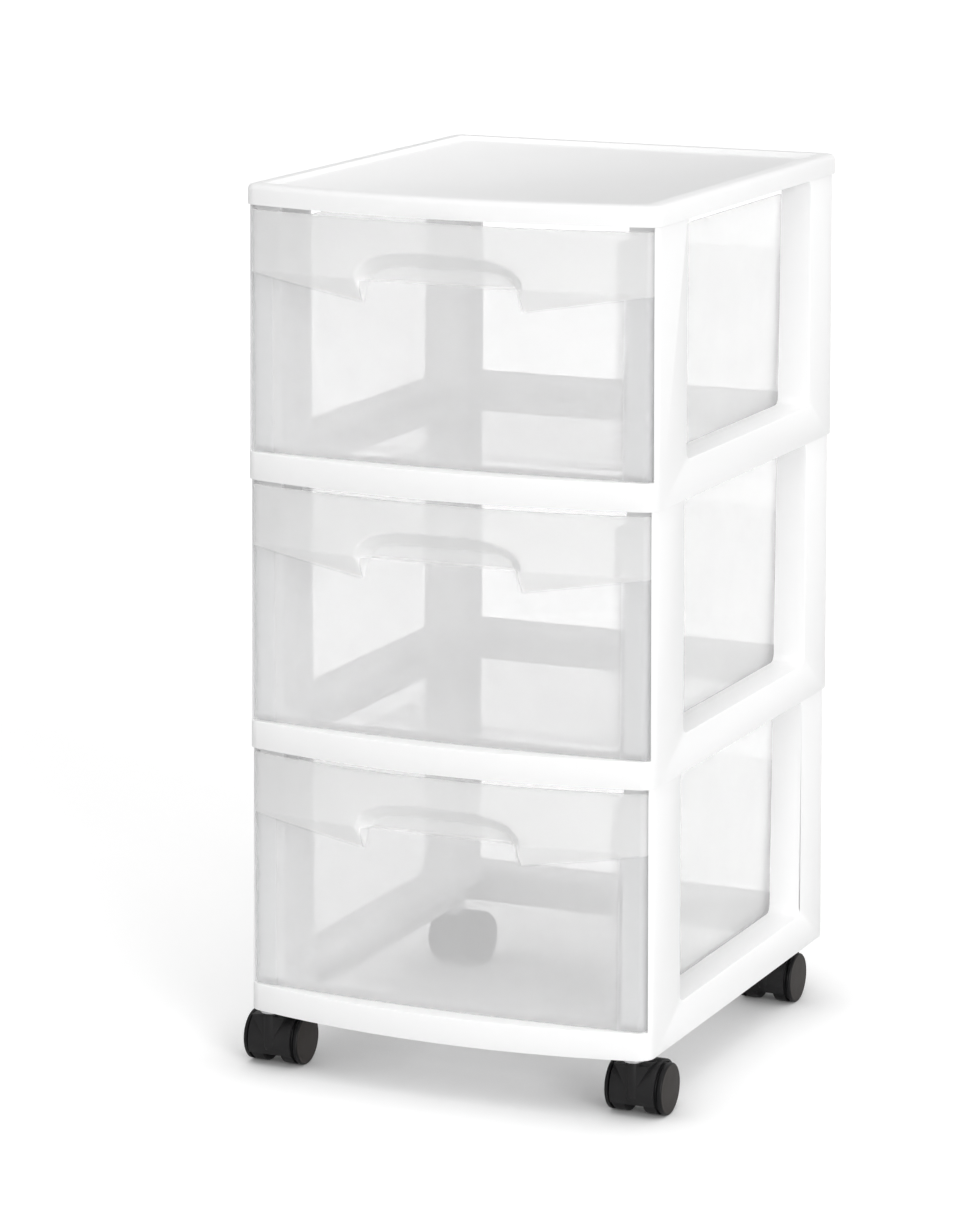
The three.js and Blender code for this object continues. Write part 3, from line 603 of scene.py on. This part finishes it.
def turned_wheel():
    """Points and faces of a wheel turned about the X axis, its closed disc toward +X."""
    # Radius and x from the bore over the tread and the disc, back to the bore.
    profile = [
        (2.3, 6.2), (16.6, 6.2), (17.6, 6.5), (18.2, 7.1), (18.3, 7.9), (18.3, 15.6), (18.1, 15.9),
        (16.7, 16.1), (16.5, 16.4), (16.5, 17.6), (16.7, 17.9), (18.0, 18.1), (18.3, 18.4),
        (18.3, 19.9), (18.15, 20.5), (17.7, 20.95), (17.1, 21.15), (16.4, 21.2), (15.9, 21.12),
        (15.3, 21.15), (11.0, 21.25), (5.0, 21.3), (0.0, 21.3), (0.0, 19.0), (2.3, 19.0),
        (2.3, 6.2),
    ]
    around = 72
    points = []
    faces = []
    for i in range(around):
        turn = math.tau * i / around
        points += [(x, r * math.cos(turn), r * math.sin(turn)) for r, x in profile]
    tall = len(profile)
    for i in range(around):
        for j in range(tall - 1):
            a = i * tall + j
            b = (i + 1) % around * tall + j
            faces.append((a, b, b + 1, a + 1))
    return points, faces


steel = plated_steel()
black = black_moulding()
wheel_black = wheel_moulding()
wheel_radius = 0.0183
points, faces = turned_wheel()
wheels = {
    "a": moulded("wheel_a", ([(-x, y, z) for x, y, z in points], faces)),
    "b": moulded("wheel_b", (points, faces)),
}
for wheel_mesh in wheels.values():
    wheel_mesh.materials.append(wheel_black)
for end, across, along in (("front", 0.1385, -0.143), ("rear", 0.126, 0.146)):
    for hand, side in (("left", -1), ("right", 1)):
        corner = f"{end}_{hand}"
        for piece in (f"caster_stem_{corner}", f"caster_axle_{corner}"):
            ease_edges(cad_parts[piece], 0.0002)
            dress(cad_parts[piece], steel)
        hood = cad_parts[f"caster_hood_{corner}"]
        ease_edges(hood, 0.0004)
        dress(hood, black)
        for which, wheel_mesh in wheels.items():
            wheel = bpy.data.objects.new(f"{corner}_wheel_{which}", wheel_mesh)
            wheel.location = (side * across, along, wheel_radius)
            bpy.context.scene.collection.objects.link(wheel)
            wheel.modifiers.new("shade", "NODES").node_group = shading
            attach(wheel, f"wheel_{corner}_{which}")
            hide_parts(f"caster_wheel_{corner}_{which}")


# The studio: a plain white floor that runs out of sight, a white surround, and soft
# lamps from the front right and above.

def studio_floor():
    """The camera sees the floor glow; close by the cart a painted contact shadow darkens its
    colour and dims the glow.
    """
    finish = Finish("studio_floor")
    speckle = finish.cloud(40.0, 2.0)
    # Painted shadow: where the cart keeps the sky off, the floor's colour is painted darker and
    # its glow dimmed, on top of the shadow the lamps cast.
    open_to_sky = finish.node("ShaderNodeAmbientOcclusion", None, {"Distance": 0.09}, out="AO")
    share = open_to_sky - 0.02 * speckle
    seen = finish.node("ShaderNodeBsdfPrincipled", None, {
        "Base Color": finish.tint(share, (0.62, 0.62, 0.62), (1.0, 1.0, 1.0)),
        "Roughness": 0.9,
        "Specular IOR Level": 0.0,
        "Emission Color": finish.tint(share, (0.0, 0.0, 0.0), (1.0, 1.0, 1.0)),
        "Emission Strength": 0.20,
    }, out="BSDF")
    bounced = finish.node("ShaderNodeBsdfPrincipled", None, {
        "Base Color": finish.tint(speckle, (0.78, 0.78, 0.78), (0.80, 0.80, 0.80)),
        "Roughness": 0.9,
        "Specular IOR Level": 0.0,
    }, out="BSDF")
    to_camera = finish.node("ShaderNodeLightPath", out="Is Camera Ray")
    sockets = {0: to_camera, 1: bounced, 2: seen}
    return finish.show(finish.node("ShaderNodeMixShader", None, sockets))


floor_mesh = bpy.data.meshes.new("floor")
reach = 40.0
floor_mesh.from_pydata(
    [(-reach, -reach, 0.0), (reach, -reach, 0.0), (reach, reach, 0.0), (-reach, reach, 0.0)],
    [],
    [(0, 1, 2, 3)],
)
floor = bpy.data.objects.new("floor", floor_mesh)
bpy.context.scene.collection.objects.link(floor)
dress(floor, studio_floor())

# The surround is pure white to the camera and lights the cart more dimly.
world = bpy.data.worlds.new("surround")
bpy.context.scene.world = world
world.use_nodes = True
surround = world.node_tree
surround.nodes.clear()
rays = surround.nodes.new("ShaderNodeLightPath")
seen = surround.nodes.new("ShaderNodeBackground")
seen.inputs["Color"].default_value = (1.0, 1.0, 1.0, 1.0)
seen.inputs["Strength"].default_value = 1.0
lit = surround.nodes.new("ShaderNodeBackground")
lit.inputs["Color"].default_value = (1.0, 1.0, 1.0, 1.0)
lit.inputs["Strength"].default_value = 0.66
either = surround.nodes.new("ShaderNodeMixShader")
shown = surround.nodes.new("ShaderNodeOutputWorld")
surround.links.new(rays.outputs["Is Camera Ray"], either.inputs[0])
surround.links.new(lit.outputs[0], either.inputs[1])
surround.links.new(seen.outputs[0], either.inputs[2])
surround.links.new(either.outputs[0], shown.inputs["Surface"])


def lamp(name, place, spread, strength):
    """A far softbox in the direction of a place, so wide in degrees."""
    light = bpy.data.lights.new(name, "SUN")
    light.angle = math.radians(spread)
    light.energy = strength
    stand = bpy.data.objects.new(name, light)
    stand.location = place
    stand.rotation_euler = (-Vector(place)).to_track_quat("-Z", "Y").to_euler()
    bpy.context.scene.collection.objects.link(stand)


lamp("key_softbox", (2.84, -2.38, 1.06), 26.0, 1.45)
lamp("top_softbox", (0.85, -1.46, 3.63), 34.0, 0.46)


# The camera, standing to the cart's right and a little above it.

lens = bpy.data.cameras.new("camera")
lens.lens = 138.234
lens.sensor_width = 36.0
lens.clip_end = 200.0
camera = bpy.data.objects.new("camera", lens)
turned, lowered, rolled = 23.873, 11.941, 0.194
turn = (
    Matrix.Rotation(math.radians(turned), 4, "Z")
    @ Matrix.Rotation(math.radians(90 - lowered), 4, "X")
    @ Matrix.Rotation(math.radians(rolled), 4, "Z")
)
camera.matrix_world = Matrix.Translation((1.27384, -2.98510, 1.00295)) @ turn
bpy.context.scene.collection.objects.link(camera)
bpy.context.scene.camera = camera
bpy.context.scene.view_settings.view_transform = "Standard"
bpy.context.scene.cycles.transparent_max_bounces = 32
bpy.context.scene.cycles.diffuse_bounces = 12
bpy.context.scene.cycles.max_bounces = 16
